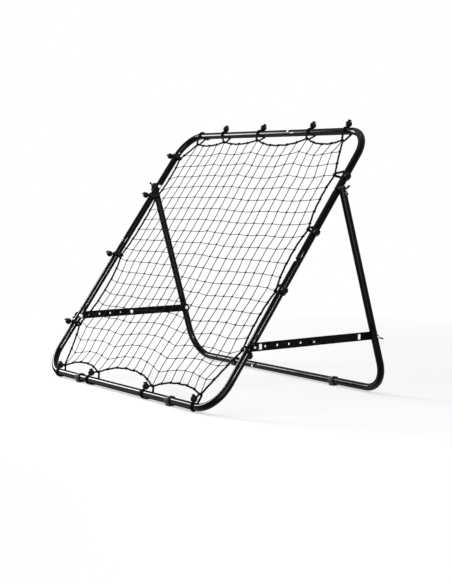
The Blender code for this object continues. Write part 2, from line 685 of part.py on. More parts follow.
def net(look, plane):
    """A flat lattice of twine in the rope's plane, each line ending at the rope."""
    half = TWINE_WIDTH / 2
    middle_s = (BOTTOM_REACH + FRAME_LENGTH - TOP_REACH) / 2
    columns = net_lines(FRAME_HALF_WIDTH - SIDE_REACH - SIDE_SAG)
    rows = [middle_s + line for line in net_lines(middle_s - BOTTOM_REACH - BOTTOM_SAG)]
    row_ends = [twine_ends(0, s) for s in rows]
    column_ends = [twine_ends(1, x) for x in columns]
    top = TWINE_THICKNESS / 2
    bm = bmesh.new()
    cross = {}
    for i, x in enumerate(columns):
        for j, s in enumerate(rows):
            inside_row = row_ends[j][0] < x - 2 * half and x + 2 * half < row_ends[j][1]
            inside_column = column_ends[i][0] < s - 2 * half and s + 2 * half < column_ends[i][1]
            if inside_row and inside_column:
                corners = ((-1, -1), (1, -1), (1, 1), (-1, 1))
                cross[i, j] = [bm.verts.new((x + half * dx, s + half * dy, top)) for dx, dy in corners]
                bm.faces.new(cross[i, j])
    for (i, j), (sw, se, ne, nw) in cross.items():
        right, above = cross.get((i + 1, j)), cross.get((i, j + 1))
        if right:
            bm.faces.new((se, right[0], right[3], ne))
        else:
            end = row_ends[j][1]
            bm.faces.new((se, bm.verts.new((end, se.co.y, top)), bm.verts.new((end, ne.co.y, top)), ne))
        if (i - 1, j) not in cross:
            end = row_ends[j][0]
            bm.faces.new((nw, bm.verts.new((end, nw.co.y, top)), bm.verts.new((end, sw.co.y, top)), sw))
        if above:
            bm.faces.new((nw, ne, above[1], above[0]))
        else:
            end = column_ends[i][1]
            bm.faces.new((nw, ne, bm.verts.new((ne.co.x, end, top)), bm.verts.new((nw.co.x, end, top))))
        if (i, j - 1) not in cross:
            end = column_ends[i][0]
            bm.faces.new((se, sw, bm.verts.new((sw.co.x, end, top)), bm.verts.new((se.co.x, end, top))))
    raised = bmesh.ops.extrude_face_region(bm, geom=list(bm.faces))["geom"]
    lower = [v for v in raised if isinstance(v, bmesh.types.BMVert)]
    bmesh.ops.translate(bm, verts=lower, vec=(0, 0, -TWINE_THICKNESS))
    finish(bm, "net", look, plane)


def build():
    clear_scene()
    black = material("black_tube", (0.015, 0.015, 0.018), 0.22, 0.35)
    strip = material("black_strip", (0.02, 0.02, 0.022), 0.35, 0.4)
    plastic = material("grey_plastic", (0.05, 0.05, 0.055), 0.5, 0)
    zinc = material("zinc", (0.75, 0.75, 0.76), 0.25, 1)
    dark = material("dark_steel", (0.06, 0.06, 0.065), 0.35, 0.8)
    cord = material("black_cord", (0.015, 0.015, 0.016), 0.8, 0)
    front = empty("front_plane", (0, FRONT_Y, BAR_Z), FRAME_TILT)
    legs = empty("leg_plane", (0, PIVOT_Y, PIVOT_Z), LEG_TILT)
    bpy.context.view_layer.update()
    front_tubes(black, front)
    leg_tubes(black, legs)
    leg_caps(plastic, legs)
    snap_buttons(zinc, front, legs)
    foot_clips(plastic, {"front": front, "rear": legs})
    struts(strip, front, legs)
    bpy.context.view_layer.update()
    fasteners(zinc, dark, front, legs)
    border_rope(cord, front)
    ties(cord, front)
    net(cord, front)


build()
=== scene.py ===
"""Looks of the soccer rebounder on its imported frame: smooth tubes and fittings, the knotted net with its
twisted border rope, and the elastic ties with their balls.

Metres, in the part's own frame: X across, to the right as seen from the net's face; Y backwards; Z up.
The front frame's plane has x across, s up the slope from the bottom bar's centre line and n out of the
net's face. The leg frame's plane has v up from the pivot in place of s.
"""

import json
from math import acos, asin, atan2, ceil, cos, hypot, pi, radians, sin, sqrt, tau

import bmesh
import bpy
import numpy as np
from mathutils import Matrix, Vector

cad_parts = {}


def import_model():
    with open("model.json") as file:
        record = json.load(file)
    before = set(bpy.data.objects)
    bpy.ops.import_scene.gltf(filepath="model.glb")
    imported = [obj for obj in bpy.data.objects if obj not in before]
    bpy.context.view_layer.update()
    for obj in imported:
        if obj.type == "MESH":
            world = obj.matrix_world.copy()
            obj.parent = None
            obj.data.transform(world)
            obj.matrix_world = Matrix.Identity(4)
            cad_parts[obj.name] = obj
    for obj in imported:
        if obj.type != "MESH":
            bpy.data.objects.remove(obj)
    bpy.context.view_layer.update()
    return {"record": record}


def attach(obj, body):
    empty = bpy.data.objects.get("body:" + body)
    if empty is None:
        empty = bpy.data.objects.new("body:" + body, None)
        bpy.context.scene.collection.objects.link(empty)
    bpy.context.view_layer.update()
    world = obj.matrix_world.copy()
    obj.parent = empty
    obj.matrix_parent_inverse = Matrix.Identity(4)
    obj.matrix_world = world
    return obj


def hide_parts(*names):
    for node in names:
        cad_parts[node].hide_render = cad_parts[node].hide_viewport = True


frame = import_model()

# Sizes of the part, as in its source
TUBE_R = 0.011
WALL = 0.0012
JOINT_GAP = 0.0003
SWAGE_TAPER = 0.002
INSERT = 0.045
FRAME_TILT = radians(53.86)
FRAME_HALF_WIDTH = 0.489
FRAME_LENGTH = 0.978
FRAME_CORNER_R = 0.090
BAR_JOINT_X = 0.225 * FRAME_HALF_WIDTH
SIDE_JOINT_S = 0.2403 * FRAME_LENGTH
UPPER_JOINT_S = 0.5235 * FRAME_LENGTH
DEPTH = 0.6226
LEG_CORNER_R = 0.092
REAR_JOINT_X = -0.2863 * FRAME_HALF_WIDTH
LEG_JOINT_ABOVE_BOLT = 0.022
LEG_TOP_PAST_PIVOT = 0.008
PIVOT_S = 0.774 * FRAME_LENGTH
BUTTON_R = 0.0041
BUTTON_HOLE_R = 0.0046
BUTTON_PROUD = 0.0028
BUTTON_DOME = 0.0016
BUTTON_FROM_JOINT = 0.012
LEAF_WIDTH = 0.006
LEAF_THICKNESS = 0.001
LEAF_LENGTH = 0.030
LEAF_DROP = 0.010
CLIP_BASE = 0.0045
CLIP_WALL = 0.0040
CLIP_LENGTH = 0.020
CLIP_BASE_WIDTH = 0.020
CLIP_ARM_ANGLE = radians(55)
CLIP_X = 0.542 * FRAME_HALF_WIDTH
STRUT_WIDTH = 0.025
STRUT_THICKNESS = 0.002
STRUT_BOLT_S = 0.2166 * FRAME_LENGTH
HOLE_PITCH = 0.043
HOLE_COUNT = 5
BOLT_R = 0.003
BOLT_HOLE_R = 0.0033
HEAD_R = 0.0065
HEAD_HEIGHT = 0.0038
THREAD_PAST_HUB = 0.003
HUB_R = 0.0055
HUB_HEIGHT = 0.0065
CAP_HEIGHT = 0.0035
CAP_STEM = 0.0035
CAP_RIM = 0.001
ROPE_R = 0.003
TIE_BALL_CLEAR = 0.0012
GAP = 0.0003

FITTED_R = TUBE_R - WALL - JOINT_GAP
BAR_Z = TUBE_R + GAP + CLIP_BASE
FRONT_Y = -DEPTH / 2
PIVOT_Y = FRONT_Y + PIVOT_S * cos(FRAME_TILT)
PIVOT_Z = BAR_Z + PIVOT_S * sin(FRAME_TILT)
LEG_LENGTH = hypot(DEPTH / 2 - PIVOT_Y, PIVOT_Z - BAR_Z)
LEG_TILT = atan2(PIVOT_Z - BAR_Z, PIVOT_Y - DEPTH / 2)
LEG_HALF_WIDTH = FRAME_HALF_WIDTH + 2 * TUBE_R + GAP
STRUT_Y = FRONT_Y + STRUT_BOLT_S * cos(FRAME_TILT)
STRUT_Z = BAR_Z + STRUT_BOLT_S * sin(FRAME_TILT)
MIDDLE_Y = STRUT_Y + HOLE_COUNT * HOLE_PITCH
REAR_BOLT_UP = (STRUT_Z - BAR_Z) / sin(LEG_TILT)
REAR_BOLT_Y = DEPTH / 2 + REAR_BOLT_UP * cos(LEG_TILT)
FRONT_STRUT_X = FRAME_HALF_WIDTH + TUBE_R + GAP
REAR_STRUT_X = LEG_HALF_WIDTH - TUBE_R - GAP - STRUT_THICKNESS

# Sizes that only the looks need
TUBE_SIDES = 36
CORNER_STEPS = 20
RING_STEP = 0.025
LIP = 0.0005
SMALL_SIDES = 28
END_STEPS = 20
CLIP_EDGE = 0.0005
STRIP_EDGE = 0.0003
HEAD_RIM = 0.22
THREAD_PITCH = 0.0012
THREAD_DEPTH = 0.0004
THREAD_TURNS = 9
WING_SPAN = 0.032
WING_HEIGHT = 0.0180
WING_THICKNESS = 0.0032
CELLS = 20
COLUMN_TWINE_R = 0.00130
ROW_TWINE_R = 0.00105
KNOT_R = 0.0023
KNOT_CORD_R = 0.00125
KNOT_SCATTER = (0.0011, 0.0010, 0.0008)
NET_SAG = 0.0045
TWINE_SLACK = 0.0006
HITCH_CORD_R = 0.0009
HITCH_SCATTER = 0.0003
ROPE_PITCH = 0.021
ROPE_WAVE = 0.0012
STRAND_R = 0.00170
STRAND_LAY = 0.00155
TIE_CORD_R = 0.0022
TIE_BALL_R = 0.0104
TIE_RISE = 0.012
TIE_HOOK_R = 0.0066
TIE_KNOT_R = 0.0034
TIE_KNOT_CORD_R = 0.0015
TIE_TAIL = 0.0085
TIE_TAIL_R = 0.0016
BALL_HOLE_R = 0.0022
BALL_HOLE_DEPTH = 0.0030
BALL_HOLE_RIM = 0.0034
BALL_SEAM = 0.0002

FRONT_PLANE = Matrix.Translation((0, FRONT_Y, BAR_Z)) @ Matrix.Rotation(FRAME_TILT, 4, "X")
LEG_PLANE = Matrix.Translation((0, PIVOT_Y, PIVOT_Z)) @ Matrix.Rotation(LEG_TILT, 4, "X")
BODIES = frame["record"]["behaviour"]["bodies"]
BODY = {node: body for body, nodes in BODIES.items() for node in nodes}
SIDES = ((-1, "left"), (1, "right"))


# Mesh building


class Shell:
    """Points, faces and UVs of one mesh in the making."""

    def __init__(self):
        self.points, self.faces, self.uvs, self.kinds = [], [], [], []

    def grid(self, rings, lengths=None, closed=False, kind=0):
        """Quads between rings of equal count. closed joins the last ring to the first."""
        count = len(rings[0])
        start = len(self.points)
        self.points += [tuple(p) for ring in rings for p in ring]
        lengths = lengths or list(range(len(rings) + 1))
        for k in range(len(rings) if closed else len(rings) - 1):
            low, high = start + k * count, start + (k + 1) % len(rings) * count
            u, v = lengths[k], lengths[k + 1]
            for n in range(count):
                m = (n + 1) % count
                self.faces.append((low + n, low + m, high + m, high + n))
                a, b = n / count, (n + 1) / count
                self.uvs += [(u, a), (u, b), (v, b), (v, a)]
                self.kinds.append(kind)
        return start

    def cap(self, ring, kind=0):
        """One flat face over a ring of points."""
        start = len(self.points)
        self.points += [tuple(p) for p in ring]
        self.faces.append(tuple(range(start, start + len(ring))))
        self.uvs += [(0, 0)] * len(ring)
        self.kinds.append(kind)

    def made(self, name, looks, matrix=None, sharp=38):
        """The object: doubles merged, normals outward, smooth but for edges over sharp degrees."""
        mesh = bpy.data.meshes.new(name)
        mesh.from_pydata(self.points, [], self.faces)
        layer = mesh.uv_layers.new(name="cord")
        layer.data.foreach_set("uv", np.array(self.uvs, np.float32).ravel())
        mesh.polygons.foreach_set("material_index", np.array(self.kinds, np.int32))
        bm = bmesh.new()
        bm.from_mesh(mesh)
        bmesh.ops.remove_doubles(bm, verts=bm.verts, dist=1e-7)
        bmesh.ops.recalc_face_normals(bm, faces=bm.faces)
        if matrix:
            bm.transform(matrix)
        bm.to_mesh(mesh)
        bm.free()
        obj = bpy.data.objects.new(name, mesh)
        bpy.context.scene.collection.objects.link(obj)
        for look in looks if isinstance(looks, (list, tuple)) else [looks]:
            mesh.materials.append(look)
        smooth(mesh, sharp)
        return obj


def smooth(mesh, sharp=38):
    mesh.shade_smooth()
    mesh.set_sharp_from_angle(angle=radians(sharp))


def circle(centre, first, second, radius, sides):
    turns = [tau * k / sides for k in range(sides)]
    return [centre + radius * (cos(turn) * first + sin(turn) * second) for turn in turns]


def turned(shell, profile, sides=SMALL_SIDES, place=None, kind=0):
    """A solid turned about local Z from (radius, height) pairs that start and end on the axis."""
    place = place or Matrix.Identity(4)
    x, y = Vector((1, 0, 0)), Vector((0, 1, 0))
    rings = [[place @ p for p in circle(Vector((0, 0, z)), x, y, r, sides)] for r, z in profile]
    shell.grid(rings, kind=kind)


def slab(shell, outline, low, high, place=None):
    """An outline of (x, y) pairs between two heights of local Z."""
    place = place or Matrix.Identity(4)
    rings = [[place @ Vector((x, y, z)) for x, y in outline] for z in (low, high)]
    shell.grid(rings)
    shell.cap(rings[0])
    shell.cap(rings[1])


def arc(centre, radius, start, end, steps):
    angles = [start + (end - start) * k / steps for k in range(steps + 1)]
    return [(centre[0] + radius * cos(a), centre[1] + radius * sin(a)) for a in angles]


def dome(radius, base, height, steps=8):
    """(radius, height) pairs from a dome's rim up to its top."""
    turns = [pi / 2 * k / steps for k in range(steps + 1)]
    return [(radius * cos(turn), base + height * sin(turn)) for turn in turns]


def applied(obj, sharp=38):
    """Turns the object's modifiers into its mesh."""
    graph = bpy.context.evaluated_depsgraph_get()
    mesh = bpy.data.meshes.new_from_object(obj.evaluated_get(graph))
    obj.modifiers.clear()
    obj.data = mesh
    smooth(mesh, sharp)
    return obj


def carved(obj, shell, operation="DIFFERENCE"):
    """Cuts the shell's solid from the object, or joins it on."""
    other = shell.made("cutter", [])
    modifier = obj.modifiers.new("cut", "BOOLEAN")
    modifier.operation = operation
    modifier.object = other
    applied(obj)
    bpy.data.objects.remove(other)
    return obj


def bevelled(obj, width, segments=2):
    modifier = obj.modifiers.new("edges", "BEVEL")
    modifier.width = width
    modifier.segments = segments
    modifier.limit_method = "ANGLE"
    modifier.angle_limit = radians(35)
    return applied(obj)


def dressed(obj, node):
    """The piece rides where its CAD node does and stands for it."""
    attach(obj, BODY[node])
    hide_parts(node)
    return obj


# Cords


def turning_frames(points, closed):
    """Two unit vectors across the path at each point, turned as little as possible along it."""
    points = np.asarray(points, float)
    if closed:
        along = np.roll(points, -1, 0) - np.roll(points, 1, 0)
    else:
        along = np.gradient(points, axis=0)
    along /= np.linalg.norm(along, axis=1)[:, None]
    start = np.cross(along[0], (0.31, 0.17, 0.93))
    first = [start / np.linalg.norm(start)]
    for k in range(1, len(points)):
        side = first[-1] - np.dot(first[-1], along[k]) * along[k]
        first.append(side / np.linalg.norm(side))
    first = np.array(first)
    second = np.cross(along, first)
    if closed:
        # The last frame is turned back onto the first one, a little at every point.
        side = first[-1] - np.dot(first[-1], along[0]) * along[0]
        off = atan2(np.dot(side, second[0]), np.dot(side, first[0]))
        turn = -off * np.arange(len(points)) / len(points)
        c, s = np.cos(turn)[:, None], np.sin(turn)[:, None]
        first, second = first * c + second * s, second * c - first * s
    return first, second


def distances(points):
    """How far along the path each of its points lies."""
    return np.concatenate([[0], np.cumsum(np.linalg.norm(np.diff(points, axis=0), axis=1))])


def cord(shell, points, radius, sides, closed=False, kind=0):
    """A cord along a path of points, with closed ends."""
    points = np.asarray(points, float)
    first, second = turning_frames(points, closed)
    angles = tau * np.arange(sides) / sides
    radii = np.broadcast_to(radius, len(points))
    c, s = np.cos(angles)[None, :, None], np.sin(angles)[None, :, None]
    rings = points[:, None] + (first[:, None] * c + second[:, None] * s) * radii[:, None, None]
    lengths = distances(np.vstack([points, points[:1]])).tolist()
    shell.grid(rings.tolist(), lengths, closed, kind)
    if not closed:
        shell.cap(rings[0].tolist(), kind)
        shell.cap(rings[-1].tolist(), kind)


def resampled(points, step, closed):
    """The path again, with points at even distances."""
    points = np.asarray(points, float)
    if closed:
        points = np.vstack([points, points[:1]])
    at = distances(points)
    count = max(2, ceil(at[-1] / step))
    wanted = np.linspace(0, at[-1], count, endpoint=not closed)
    return np.stack([np.interp(wanted, at, points[:, k]) for k in range(3)], 1)


def eased(points, rounds, closed):
    """The path with its corners rounded by repeated averaging. Open ends stay."""
    points = np.array(points, float)
    for _ in range(rounds):
        before, after = np.roll(points, 1, 0), np.roll(points, -1, 0)
        changed = (before + 2 * points + after) / 4
        if not closed:
            changed[0], changed[-1] = points[0], points[-1]
        points = changed
    return points


# Materials


def material(name, colour, roughness, metallic=0.0, level=0.5):
    """A Principled material; level is the specular level of its even sockets."""
    made = bpy.data.materials.new(name)
    made.use_nodes = True
    shader = made.node_tree.nodes["Principled BSDF"]
    shader.inputs["Base Color"].default_value = (*colour, 1)
    shader.inputs["Roughness"].default_value = roughness
    shader.inputs["Metallic"].default_value = metallic
    shader.inputs["Specular IOR Level"].default_value = level
    return made


def noise(tree, scale, detail=3.0, stretch=(1, 1, 1)):
    """Noise in the object's own space, so that it stays on the piece in every pose."""
    place = tree.nodes.new("ShaderNodeTexCoord")
    mapping = tree.nodes.new("ShaderNodeMapping")
    mapping.inputs["Scale"].default_value = stretch
    texture = tree.nodes.new("ShaderNodeTexNoise")
    texture.inputs["Scale"].default_value = scale
    texture.inputs["Detail"].default_value = detail
    tree.links.new(place.outputs["Object"], mapping.inputs["Vector"])
    tree.links.new(mapping.outputs["Vector"], texture.inputs["Vector"])
    return texture.outputs["Fac"]


def spread(tree, value, low, high, start=0.3, end=0.7):
    """Maps start..end of a value to low..high."""
    node = tree.nodes.new("ShaderNodeMapRange")
    node.inputs["From Min"].default_value = start
    node.inputs["From Max"].default_value = end
    node.inputs["To Min"].default_value = low
    node.inputs["To Max"].default_value = high
    tree.links.new(value, node.inputs["Value"])
    return node.outputs["Result"]


def gloss_by_angle(made, stops):
    """Gloss by how far the surface turns away: stops are (Layer Weight facing, specular level) pairs."""
    tree = made.node_tree
    weight = tree.nodes.new("ShaderNodeLayerWeight")
    weight.inputs["Blend"].default_value = 0.5
    ramp = tree.nodes.new("ShaderNodeValToRGB")
    elements = ramp.color_ramp.elements
    elements.remove(elements[1])
    for k, (facing, level) in enumerate(stops):
        stop = elements.new(facing) if k else elements[0]
        stop.position = facing
        stop.color = (level, level, level, 1)
    tree.links.new(weight.outputs["Facing"], ramp.inputs["Fac"])
    tree.links.new(ramp.outputs["Color"], tree.nodes["Principled BSDF"].inputs["Specular IOR Level"])


def varied(made, colour, other, scale, start=0.35, end=0.65, stretch=(1, 1, 1)):
    """Mixes two colours by noise."""
    tree = made.node_tree
    ramp = tree.nodes.new("ShaderNodeValToRGB")
    ramp.color_ramp.elements[0].position = start
    ramp.color_ramp.elements[1].position = end
    ramp.color_ramp.elements[0].color = (*colour, 1)
    ramp.color_ramp.elements[1].color = (*other, 1)
    tree.links.new(noise(tree, scale, stretch=stretch), ramp.inputs["Fac"])
    tree.links.new(ramp.outputs["Color"], tree.nodes["Principled BSDF"].inputs["Base Color"])


def uneven(made, scale, low, high, stretch=(1, 1, 1)):
    """Varies the roughness by noise."""
    tree = made.node_tree
    value = spread(tree, noise(tree, scale, stretch=stretch), low, high)
    tree.links.new(value, tree.nodes["Principled BSDF"].inputs["Roughness"])


def bumped(made, height, distance, strength=1.0):
    """Bump from a height between 0 and 1, distance metres deep, on top of any bump before it."""
    tree = made.node_tree
    shader = tree.nodes["Principled BSDF"]
    bump = tree.nodes.new("ShaderNodeBump")
    bump.inputs["Distance"].default_value = distance
    bump.inputs["Strength"].default_value = strength
    if shader.inputs["Normal"].is_linked:
        tree.links.new(shader.inputs["Normal"].links[0].from_socket, bump.inputs["Normal"])
    tree.links.new(height, bump.inputs["Height"])
    tree.links.new(bump.outputs["Normal"], shader.inputs["Normal"])


def arithmetic(tree, operation, first, second=None):
    node = tree.nodes.new("ShaderNodeMath")
    node.operation = operation
    for socket, value in zip(node.inputs, (first, second)):
        if isinstance(value, bpy.types.NodeSocket):
            tree.links.new(value, socket)
        elif value is not None:
            socket.default_value = value
    return node.outputs[0]


def woven(made, pitch, yarns):
    """Height of a braided cover: yarns cross each other along a cord's UVs, in both directions."""
    tree = made.node_tree
    place = tree.nodes.new("ShaderNodeUVMap")
    place.uv_map = "cord"
    parts = tree.nodes.new("ShaderNodeSeparateXYZ")
    tree.links.new(place.outputs["UV"], parts.inputs[0])
    along = arithmetic(tree, "MULTIPLY", parts.outputs["X"], tau / pitch)
    around = arithmetic(tree, "MULTIPLY", parts.outputs["Y"], tau * yarns)
    one = arithmetic(tree, "SINE", arithmetic(tree, "ADD", along, around))
    two = arithmetic(tree, "SINE", arithmetic(tree, "SUBTRACT", along, around))
    return spread(tree, arithmetic(tree, "MULTIPLY", one, two), 0, 1, -1, 1)


def enamel(name, colour, other, low, high, stops):
    """Black enamel: faint orange peel and slightly uneven gloss."""
    made = material(name, colour, low)
    gloss_by_angle(made, stops)
    varied(made, colour, other, scale=14)
    uneven(made, 60, low, high)
    bumped(made, noise(made.node_tree, 700, 2), distance=0.00004, strength=0.04)
    bumped(made, noise(made.node_tree, 120, 2), distance=0.00010, strength=0.03)
    return made


def plated(name, colour, other, low, high, level=0.5):
    """Zinc plate: patchy tone, fine drawn streaks and tiny pits."""
    made = material(name, colour, low, 1.0, level)
    varied(made, colour, other, scale=220)
    uneven(made, 500, low, high, stretch=(1, 1, 0.2))
    bumped(made, noise(made.node_tree, 2600, 4), distance=0.00003, strength=0.5)
    return made


def moulded(name, colour, other, low, high, level=0.4):
    """Moulded plastic with a fine matt grain."""
    made = material(name, colour, low, level=level)
    varied(made, colour, other, scale=60)
    uneven(made, 300, low, high)
    bumped(made, noise(made.node_tree, 2200, 2), distance=0.00008, strength=0.5)
    return made


def fibrous(name, colour, other, pitch, yarns, depth):
    """Braided or twisted fibre: a woven cover with loose hairs of colour."""
    made = material(name, colour, 0.75, level=0.04)
    varied(made, colour, other, scale=900, start=0.3, end=0.75)
    uneven(made, 400, low=0.6, high=0.9)
    bumped(made, woven(made, pitch, yarns), depth)
    bumped(made, noise(made.node_tree, 4000, 3), distance=0.00008, strength=0.6)
    return made


# Stops for gloss_by_angle: on tubes a sheen along the middle, a second one further out, and dark rims.
TUBE_GLOSS = (
    (0, 0.50), (0.02, 0.50), (0.06, 0.03), (0.33, 0.04), (0.42, 0.12), (0.52, 0.10), (0.66, 0),
)
STRIP_GLOSS = ((0, 0.03), (0.5, 0.03), (0.8, 0))
NUT_GLOSS = ((0, 0.14), (0.5, 0.10), (0.8, 0))
TUBE = enamel("tube_black", (0.0014, 0.0011, 0.0030), (0.0026, 0.0023, 0.0042), 0.07, 0.12, TUBE_GLOSS)
STRIP = enamel("strip_black", (0.0018, 0.0014, 0.0022), (0.0032, 0.0027, 0.0038), 0.30, 0.42, STRIP_GLOSS)
CLIP = moulded("clip_plastic", (0.024, 0.024, 0.028), (0.036, 0.036, 0.040), 0.42, 0.55, 0.15)
CAP = moulded("cap_plastic", (0.007, 0.007, 0.008), (0.011, 0.011, 0.012), 0.35, 0.45, 0.15)
ZINC = plated("bolt_zinc", (0.78, 0.79, 0.82), (0.62, 0.63, 0.66), 0.16, 0.32)
BUTTON = plated("button_zinc", (0.80, 0.80, 0.83), (0.66, 0.67, 0.70), 0.14, 0.28)
NUT = enamel("nut_black", (0.0032, 0.0030, 0.0042), (0.0065, 0.0063, 0.0080), 0.14, 0.26, NUT_GLOSS)
TWINE = fibrous("net_twine", (0.005, 0.005, 0.0065), (0.013, 0.013, 0.015), 0.0026, 2, 0.00010)
ROPE = fibrous("rope_fibre", (0.0030, 0.0028, 0.0038), (0.0080, 0.0078, 0.0090), 0.0016, 3, 0.00012)
ELASTIC = fibrous("elastic_cover", (0.0030, 0.0028, 0.0038), (0.0075, 0.0073, 0.0085), 0.0022, 4, 0.00018)
BALL = moulded("ball_plastic", (0.0030, 0.0028, 0.0038), (0.0050, 0.0048, 0.0058), 0.26, 0.34, 0.07)
WHITE_PATCH = moulded("white_patch", (0.80, 0.80, 0.79), (0.74, 0.74, 0.73), 0.35, 0.45)


# Tubes


def bent_path(start, corner, end, radius):
    """(point, direction) pairs of a centre line with one rounded corner, in a frame's plane."""
    start, corner, end = Vector(start), Vector(corner), Vector(end)
    into = (corner - start).normalized()
    out = (end - corner).normalized()
    centre = corner - into * radius + out * radius
    path = straight_path(start, corner - into * radius)[:-1]
    for k in range(CORNER_STEPS + 1):
        turn = pi / 2 * k / CORNER_STEPS
        point = centre - out * radius * cos(turn) + into * radius * sin(turn)
        path.append((point, into * cos(turn) + out * sin(turn)))
    return path + straight_path(corner + out * radius, end)[1:]


def straight_path(start, end):
    start, end = Vector(start), Vector(end)
    run = end - start
    count = max(1, round(run.length / RING_STEP))
    return [(start + run * k / count, run.normalized()) for k in range(count + 1)]


def stations(path, male_start, male_end, inset):
    """(point, direction, radius) along a tube's surface, with its swaged ends and chamfered lips."""
    full, narrow = TUBE_R - inset, FITTED_R - inset
    lip = 0 if inset else LIP
    first, into = path[0]
    last, out = path[-1]
    found = [(point, along, full) for point, along in path[1:-1]]
    if male_start:
        neck = first + into * JOINT_GAP
        start = [(first - into * INSERT, into, narrow - lip), (first - into * (INSERT - LIP), into, narrow)]
        start += [(neck, into, narrow), (neck + into * SWAGE_TAPER / 2, into, full - LIP / 2)]
        start.append((neck + into * SWAGE_TAPER, into, full))
    else:
        start = [(first, into, full - lip), (first + into * LIP, into, full)]
    if male_end:
        neck = last - out * JOINT_GAP
        end = [(neck - out * SWAGE_TAPER, out, full), (neck - out * SWAGE_TAPER / 2, out, full - LIP / 2)]
        end += [(neck, out, narrow), (last + out * (INSERT - LIP), out, narrow)]
        end.append((last + out * INSERT, out, narrow - lip))
    else:
        end = [(last - out * LIP, out, full), (last, out, full - lip)]
    return start + found + end


def tube(node, path, plane, male_start=False, male_end=False, bolts=(), buttons=()):
    """An open steel tube with its wall and holes."""
    outer = stations(path, male_start, male_end, 0)
    inner = stations(path, male_start, male_end, WALL)[::-1]
    normal = Vector((0, 0, 1))
    rings = []
    for point, along, radius in outer + inner:
        side = Vector((along.y, -along.x, 0))
        rings.append(circle(Vector((point.x, point.y, 0)), side, normal, radius, TUBE_SIDES))
    shell = Shell()
    shell.grid(rings, closed=True)
    obj = shell.made("fine_" + node, TUBE, sharp=50)
    cutter = Shell()
    for x, y in bolts:
        place = Matrix.Translation((x, y, 0)) @ Matrix.Rotation(pi / 2, 4, "Y")
        rod(cutter, BOLT_HOLE_R, -2 * TUBE_R, 2 * TUBE_R, place)
    for (x, y), facing in buttons:
        place = Matrix.Translation((x, y, 0)) @ Matrix.Rotation(0 if facing > 0 else pi, 4, "X")
        rod(cutter, BUTTON_HOLE_R, BUTTON_R, 2 * TUBE_R, place)
    carved(obj, cutter)
    obj.data.transform(plane)
    return dressed(obj, node)


def rod(shell, radius, low, high, place=None, sides=SMALL_SIDES):
    turned(shell, ((0, low), (radius, low), (radius, high), (0, high)), sides, place)


def front_tubes():
    half, top = FRAME_HALF_WIDTH, FRAME_LENGTH
    bottom_button = ((BAR_JOINT_X - BUTTON_FROM_JOINT, 0), -1)
    top_button = ((BAR_JOINT_X - BUTTON_FROM_JOINT, top), 1)
    for side, word in SIDES:
        x = side * half
        strut_bolt = (x, STRUT_BOLT_S)
        side_button = ((x, UPPER_JOINT_S - BUTTON_FROM_JOINT), side)
        male = side > 0
        lower = bent_path((BAR_JOINT_X, 0), (x, 0), (x, SIDE_JOINT_S), FRAME_CORNER_R)
        upper = bent_path((BAR_JOINT_X, top), (x, top), (x, UPPER_JOINT_S), FRAME_CORNER_R)
        middle = straight_path((x, SIDE_JOINT_S), (x, UPPER_JOINT_S))
        tube(f"front_lower_{word}_tube", lower, FRONT_PLANE, male, False, [strut_bolt], [bottom_button])
        buttons = [top_button, side_button]
        tube(f"front_upper_{word}_tube", upper, FRONT_PLANE, male, True, [(x, PIVOT_S)], buttons)
        tube(f"front_side_{word}_tube", middle, FRONT_PLANE, True, False, [strut_bolt], [side_button])


def leg_tubes():
    rear_button = ((REAR_JOINT_X - BUTTON_FROM_JOINT, -LEG_LENGTH), 1)
    joint = REAR_BOLT_UP + LEG_JOINT_ABOVE_BOLT - LEG_LENGTH
    for side, word in SIDES:
        x = side * LEG_HALF_WIDTH
        bolt = (x, REAR_BOLT_UP - LEG_LENGTH)
        lower = bent_path((REAR_JOINT_X, -LEG_LENGTH), (x, -LEG_LENGTH), (x, joint), LEG_CORNER_R)
        tube(f"rear_lower_{word}_tube", lower, LEG_PLANE, side > 0, False, [bolt], [rear_button])
        upper = straight_path((x, joint), (x, LEG_TOP_PAST_PIVOT))
        tube(f"leg_{word}_tube", upper, LEG_PLANE, True, False, [bolt, (x, 0)])


def leg_caps():
    stem = TUBE_R - WALL - GAP
    base = LEG_TOP_PAST_PIVOT + GAP
    low = base - CAP_STEM
    profile = [(0, low), (stem - LIP, low), (stem, low + LIP), (stem, base)]
    profile += [(TUBE_R - LIP / 2, base), (TUBE_R, base + LIP / 2)]
    profile += dome(TUBE_R, base + CAP_RIM, CAP_HEIGHT)
    for side, word in SIDES:
        shell = Shell()
        place = LEG_PLANE @ Matrix.Translation((side * LEG_HALF_WIDTH, 0, 0))
        turned(shell, profile, TUBE_SIDES, place @ Matrix.Rotation(-pi / 2, 4, "X"))
        dressed(shell.made(f"fine_leg_{word}_cap", CAP), f"leg_{word}_cap")


# Snap buttons and foot clips


